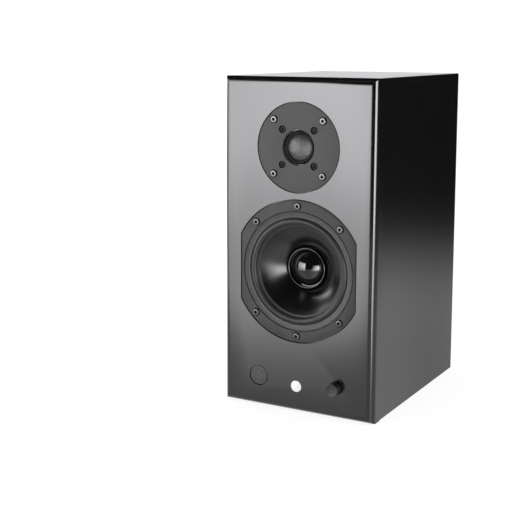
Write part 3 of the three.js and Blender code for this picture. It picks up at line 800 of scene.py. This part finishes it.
# ---------------------------------------------------------------- rear
def rear_parts():
    bore, wall, mouth, flare = 22.5, 2.0, 32.0, 8.0
    length = -(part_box("port_tube")[0].y / MM - BACK)
    angles = [math.pi / 2 * i / 14 for i in range(15)]
    curve = [(bore + flare * (1 - math.cos(t)), -flare + flare * math.sin(t)) for t in angles]
    profile = curve + [(mouth - 0.5, 0), (mouth, -0.5), (mouth, -3)]
    profile += [(bore + wall, -3), (bore + wall, -length + 1)]
    profile += [(bore + wall - 0.6, -length), (bore + 0.6, -length), (bore, -length + 1)]
    port = turn("port_tube_flared", profile, "port_plastic", (PORT.x, PORT.z), BACK, segments=128)
    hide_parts("port_tube")

    low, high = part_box("amp_plate")
    width, height = (high.x - low.x) / MM, (high.z - low.z) / MM
    outline = rounded_rectangle(width, height, 0.8, 2)
    blank = prism(outline, BACK - 2.5, BACK, PLATE.x, PLATE.z, 0.4)
    plate = make_mesh("amp_plate_anodised", *blank, "black_aluminium")
    before, behind = BACK - 4, BACK + 1
    cutters = [
        prism(rounded_rectangle(27.6, 20.2, 1), before, behind, INLET.x, INLET.z),
        prism(rounded_rectangle(13, 19.2, 0.5), before, behind, SWITCH.x, SWITCH.z),
        prism(rounded_rectangle(10.6, 29.6, 0.5), before, behind, PHONO.x, PHONO.z),
    ]
    for side in (-1, 1):
        cutters.append(hole(4.3, before, behind, POST_BASE.x + side * POST_SPACING / 2, POST_BASE.z))
    cut(plate, cutters)
    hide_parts("amp_plate")
    places = [(sx * (width / 2 - 5), sz * (height / 2 - 5)) for sx in (-1, 1) for sz in (-1, 0, 1)]
    places += [(0, sz * (height / 2 - 5)) for sz in (-1, 1)]
    for number, (x, z) in enumerate(places, 1):
        head = [(0, 1.3)] + arc(0, -1.2, 3.2, 50, 28, 6) + [(3.0, 0.02), (1.4, 0.02), (1.4, -2.2), (0, -2.2)]
        verts, faces = turned(head, PLATE.x + x, PLATE.z + z, BACK, 24)
        screw = make_mesh(f"amp_plate_screw_{number}", verts, faces, "screw_black")
        cut(screw, cross_slots(2.6, 0.5, BACK + 0.7, BACK + 3, PLATE.x + x, PLATE.z + z))
    inlet()
    switch()
    posts()
    phono()


def inlet():
    x, z = INLET.x, INLET.z
    blank = prism(rounded_rectangle(48, 22, 2.5), BACK, BACK + 3, x, z, 0.8)
    flange = make_mesh("mains_inlet_moulded", *blank, "black_plastic")
    body = prism(rounded_rectangle(27, 19.6, 1), BACK - 24, BACK + 1, x, z)
    cut(flange, [body], "UNION")
    mouth = [(12, -8), (12, 4.5), (8.5, 8), (-8.5, 8), (-12, 4.5), (-12, -8)]
    screw_holes = [hole(1.7, BACK - 1, BACK + 4, x + side * 20, z, 16) for side in (-1, 1)]
    cut(flange, [prism(mouth, BACK - 13, BACK + 4, x, z)] + screw_holes)
    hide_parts("mains_inlet")
    for number, (px, pz) in enumerate([(-7, -2), (7, -2), (0, 2)], 1):
        blade = prism(rounded_rectangle(2, 4, 0.3, 2), BACK - 13.2, BACK - 3, x + px, z + pz, 0.5)
        pin = make_mesh(f"mains_inlet_pin_{number}", *blade, "plated_steel")
    for number, side in enumerate((-1, 1), 1):
        profile = [(0, 3.7), (2.4, 3.7), (2.9, 3.4), (2.9, 3.02), (1.5, 3.02), (1.5, -0.5), (0, -0.5)]
        verts, faces = turned(profile, x + side * 20, z, BACK, 24)
        screw = make_mesh(f"mains_inlet_screw_{number}", verts, faces, "screw_black")
        cut(screw, cross_slots(3, 0.5, BACK + 3.3, BACK + 5, x + side * 20, z))


def switch():
    x, z = SWITCH.x, SWITCH.z
    bezel = prism(rounded_rectangle(15, 21, 1.2), BACK, BACK + 2, x, z, 0.6)
    housing = make_mesh("switch_housing_moulded", *bezel, "black_plastic")
    cut(housing, [prism(rounded_rectangle(12.4, 18.6, 0.4), BACK - 16, BACK + 1, x, z)], "UNION")
    cut(housing, [prism(rounded_rectangle(10.6, 16.5, 0.4), BACK - 6.6, BACK + 3, x, z)])
    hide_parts("switch_housing")
    tilt = math.radians(-10)
    face = spline([
        (7.7, 1.0), (7.25, 2.9), (3.6, 2.35), (0, 2.15), (-3.6, 2.35), (-7.25, 2.9), (-7.7, 1.0),
    ], 6)
    side = [(v, u) for v, u in face] + [(-4, -3), (4, -3)]
    verts, faces = [], []
    for px in (-4.9, -4.6, 4.6, 4.9):
        inset = 0.3 if abs(px) > 4.7 else 0.0
        for v, u in side:
            v, u = v * (1 - inset / 7.7), u - inset if u > 0 else u
            y = u * math.cos(tilt) - v * math.sin(tilt)
            up = u * math.sin(tilt) + v * math.cos(tilt)
            verts.append((x + px, BACK - 0.5 + y, z + up))
    count = len(side)
    for k in range(3):
        for i in range(count):
            j = (i + 1) % count
            faces.append((k * count + i, k * count + j, (k + 1) * count + j, (k + 1) * count + i))
    faces += [tuple(range(count)), tuple(3 * count + i for i in range(count))]
    rocker = make_mesh("mains_rocker_moulded", verts, faces, "black_plastic", "mains_rocker")
    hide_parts("mains_rocker")


def ribbed(angle, r):
    """The radius of a post nut at an angle: 20 ribs round its grip."""
    return r - 0.35 * (1 + math.cos(20 * angle)) / 2 if r > 5.4 else r


def posts():
    x, z = POST_BASE.x, POST_BASE.z
    blank = prism(rounded_rectangle(42, 18, 3), BACK, BACK + 3, x, z, 0.6)
    base = make_mesh("speaker_post_base_plated", *blank, "black_plastic")
    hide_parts("speaker_post_base")
    for colour, side in (("red", -1), ("black", 1)):
        px = x + side * POST_SPACING / 2
        stud = [(0, -12), (2, -12), (2, 3.02), (5.5, 3.02), (5.5, 4.6), (5.1, 5.0), (2, 5.0)]
        stud += [(2, 13.6), (1.7, 14.0), (0, 14.0)]
        collar = turn(f"{colour}_post_stud", stud, "gold_plate", (px, z), BACK, segments=48)
        low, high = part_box(f"{colour}_post_washer")
        y0, y1 = low.y / MM - BACK, high.y / MM - BACK
        washer = [(2.3, y0), (4.8, y0), (5.0, y0 + 0.2), (5.0, y1 - 0.2), (4.8, y1), (2.3, y1)]
        body = f"{colour}_post_washer"
        ring = turn(f"{body}_plated", washer, "gold_plate", (px, z), BACK, body, 48)
        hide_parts(f"{colour}_post_washer")
        low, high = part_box(f"{colour}_post_nut")
        y0, y1 = low.y / MM - BACK, high.y / MM - BACK
        profile = [(2.3, y0), (5.2, y0), (5.7, y0 + 0.5), (6.15, y0 + 0.9), (6.15, y1 - 1.6)]
        profile += [(5.6, y1 - 0.6), (4.9, y1 - 0.1), (4.6, y1), (2.6, y1), (2.3, y1 - 0.3)]
        look = "red_plastic" if colour == "red" else "black_plastic"
        body = f"{colour}_post_nut"
        nut = turn(f"{body}_ribbed", profile, look, (px, z), BACK, body, 160, 50, ribbed)
        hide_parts(f"{colour}_post_nut")


def phono():
    x, z = PHONO.x, PHONO.z
    blank = prism(rounded_rectangle(13, 33, 1.2), BACK, BACK + 2.5, x, z, 0.5)
    block = make_mesh("phono_socket_pair_moulded", *blank, "black_plastic")
    cut(block, [prism(rounded_rectangle(10, 29, 0.5), BACK - 14, BACK + 1, x, z)], "UNION")
    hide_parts("phono_socket_pair")
    for name, colour, dz in (("left", "white_plastic", 9), ("right", "red_plastic", -9)):
        shell = [(3.3, 2.52), (5.2, 2.52), (5.2, 3.3), (4.15, 3.5), (4.15, 10.1), (3.85, 10.5), (3.3, 10.5)]
        barrel = turn(f"phono_socket_{name}_shell", shell, "gold_plate", (x, z + dz), BACK, segments=48)
        core = [(1.7, 2.52), (3.28, 2.52), (3.28, 9.9), (1.9, 9.9), (1.7, 9.7)]
        insulator = turn(f"phono_socket_{name}_insulator", core, colour, (x, z + dz), BACK, segments=48)


# ---------------------------------------------------------------- studio
def smooth_step(low, high, value):
    t = min(max((value - low) / (high - low), 0.0), 1.0)
    return t * t * (3 - 2 * t)


def band(value, low, high, soft):
    return smooth_step(low - soft, low + soft, value) * (1 - smooth_step(high - soft, high + soft, value))


def ramp(points, value):
    if value <= points[0][0]:
        return points[0][1]
    for (a, low), (b, high) in zip(points, points[1:]):
        if value <= b:
            return low + (high - low) * (value - a) / (b - a)
    return points[-1][1]


# What a glossy surface of the speaker sees. Angles are in degrees: an azimuth of 0 is the front and 90 is +X.
# By elevation: the pale table, then two softboxes, from their images in the table upwards.
TABLE = [(-17.9, 0.92), (-16, 1.02), (-13.6, 0.94), (-11.3, 0.48), (-9.9, 0.17), (-8.5, 0.05), (-6.6, 0.02)]
LEFT_BOX = [
    (-18.3, 0.2), (-16.4, 2.6), (-15, 5.2), (-13.8, 5.6), (-11.3, 5.7),
    (-8.5, 6.7), (-6.1, 9), (-3.3, 11.8), (0, 12.4),
]
RIGHT_BOX = [(-19.7, 0.8), (-17.9, 2), (-16.4, 4.4), (-13.8, 7.4), (-11.3, 10.5), (-7.5, 17)]
# By azimuth: how the right softbox rises across its width, and how the table fades round the back.
RIGHT_RISE = [(22, 0.06), (34, 0.4), (48, 1.0)]
FAR_RIGHT = [(148, 1.15), (156, 1.0), (164, 0.5)]
FAR_LEFT_STRENGTH = 11.0
HIGH_LEFT_STRENGTH = 1.5
SIDE_STRENGTH = 4.0
REAR_STRENGTH = 1.12
GLOW_COLOUR = (0.975, 0.972, 1.0, 1)
WHITE = (1, 1, 1, 1)
FLOOR_STRENGTH = 0.82
WORLD_STRENGTH = 1.08

LENS = 76.6
SHIFT_X, SHIFT_Y = -0.0082, -0.12
CAMERA_AT = (0.5093, -1.0948, 0.384)
YAW, PITCH, ROLL = 0.5144, 0.1385, 0.003


def glow(azimuth, elevation):
    """How bright the studio is in a direction, in degrees: the table and a few softboxes."""
    table = ramp(TABLE, elevation) * (ramp(FAR_RIGHT, azimuth) if azimuth > 0 else 1.0)
    taper = min(max(1 + 0.02 * (azimuth + 28), 0.6), 1.12)
    left = band(azimuth, -58, -16.2, 1.0) * (1 - smooth_step(12, 20, elevation)) * taper
    lean = min(max(-2 - elevation, 0), 16)
    right = band(azimuth + lean, 24, 76, 5.0) * ramp(RIGHT_RISE, azimuth + lean)
    right *= 1 - smooth_step(2, 14, elevation)
    far_left = band(azimuth, -112, -74, 5.0) * band(elevation, 3, 42, 4.0)
    high_left = band(azimuth, -50, -33, 2.0) * band(elevation, 50, 63, 3.0)
    side = band(azimuth, 95, 128, 6.0) * band(elevation, 12, 50, 5.0)
    rear = band(azimuth, -176, -120, 8.0) * band(elevation, -4, 14, 3.0)
    return (
        table + left * ramp(LEFT_BOX, elevation) + right * ramp(RIGHT_BOX, elevation)
        + far_left * FAR_LEFT_STRENGTH + high_left * HIGH_LEFT_STRENGTH
        + side * SIDE_STRENGTH + rear * REAR_STRENGTH
    )


def reflected_dome():
    """The studio round the speaker, which only its glossy reflections see."""
    radius, across, up = 4.0, 360, 240
    verts, faces, glows = [], [], []
    for j in range(up + 1):
        elevation = -90 + 180 * j / up
        for i in range(across):
            azimuth = -180 + 360 * i / across
            a, e = math.radians(azimuth), math.radians(elevation)
            out = radius * math.cos(e)
            verts.append((out * math.sin(a), -out * math.cos(a), 0.18 + radius * math.sin(e)))
            glows.append(glow(azimuth, elevation))
    for j in range(up):
        for i in range(across):
            k = (i + 1) % across
            faces.append((j * across + i, j * across + k, (j + 1) * across + k, (j + 1) * across + i))
    mesh = bpy.data.meshes.new("studio_dome")
    mesh.from_pydata(verts, [], faces)
    mesh.attributes.new("glow", "FLOAT", "POINT").data.foreach_set("value", glows)
    look = bpy.data.materials.new("studio_glow")
    look.use_nodes = True
    tree = look.node_tree
    tree.nodes.clear()
    attribute = node_of(tree, "ShaderNodeAttribute", attribute_name="glow")
    emission = node_of(tree, "ShaderNodeEmission")
    emission.inputs["Color"].default_value = GLOW_COLOUR
    output = node_of(tree, "ShaderNodeOutputMaterial")
    tree.links.new(attribute.outputs["Fac"], emission.inputs["Strength"])
    tree.links.new(emission.outputs[0], output.inputs["Surface"])
    mesh.materials.append(look)
    look.cycles.emission_sampling = "NONE"
    dome = bpy.data.objects.new("studio_dome", mesh)
    bpy.context.scene.collection.objects.link(dome)
    for ray in ("camera", "diffuse", "shadow", "transmission", "volume_scatter"):
        setattr(dome, "visible_" + ray, False)


def floor():
    """The pale floor, which glossy reflections don't see, because the dome holds the table they see."""
    mesh = bpy.data.meshes.new("studio_floor")
    rim = [(x, y, -0.0002) for x, y in circle(30, 96)]
    mesh.from_pydata(rim, [], [tuple(range(96))])
    look = material(
        "studio_floor", grey(0.24), grey(0.25), (0.9, 0.95), grain=40, bump=0.0, mottle=0.7, specular=0.0,
    )
    shader = look.node_tree.nodes["Principled BSDF"]
    shader.inputs["Emission Color"].default_value = WHITE
    shader.inputs["Emission Strength"].default_value = FLOOR_STRENGTH
    mesh.materials.append(look)
    plane = bpy.data.objects.new("studio_floor", mesh)
    bpy.context.scene.collection.objects.link(plane)
    plane.visible_glossy = False


def studio():
    """Soft light, the floor, the reflected studio and the camera."""
    scene = bpy.context.scene
    world = bpy.data.worlds.new("studio")
    scene.world = world
    world.use_nodes = True
    background = world.node_tree.nodes["Background"]
    background.inputs["Color"].default_value = WHITE
    background.inputs["Strength"].default_value = WORLD_STRENGTH
    world.cycles_visibility.glossy = False
    scene.view_settings.view_transform = "Standard"
    floor()
    reflected_dome()

    camera_data = bpy.data.cameras.new("camera")
    camera_data.sensor_width = 36
    camera_data.lens = LENS
    camera_data.shift_x = SHIFT_X
    camera_data.shift_y = SHIFT_Y
    camera = bpy.data.objects.new("camera", camera_data)
    scene.collection.objects.link(camera)
    level = math.cos(PITCH)
    forward = Vector((-math.sin(YAW) * level, math.cos(YAW) * level, -math.sin(PITCH)))
    camera.location = CAMERA_AT
    aim = forward.to_track_quat("-Z", "Y").to_matrix() @ Matrix.Rotation(ROLL, 3, "Z")
    camera.rotation_euler = aim.to_euler()
    scene.camera = camera


# ---------------------------------------------------------------- everything
baffle()
panels()
rear_panel()
tweeter()
woofer()
controls()
rear_parts()
for entry in frame["record"]["subparts"]:
    node = frame["nodes"][entry["node"]]
    for place in node.material_slots:
        place.material = LOOKS[entry["material_slot"]]
studio()
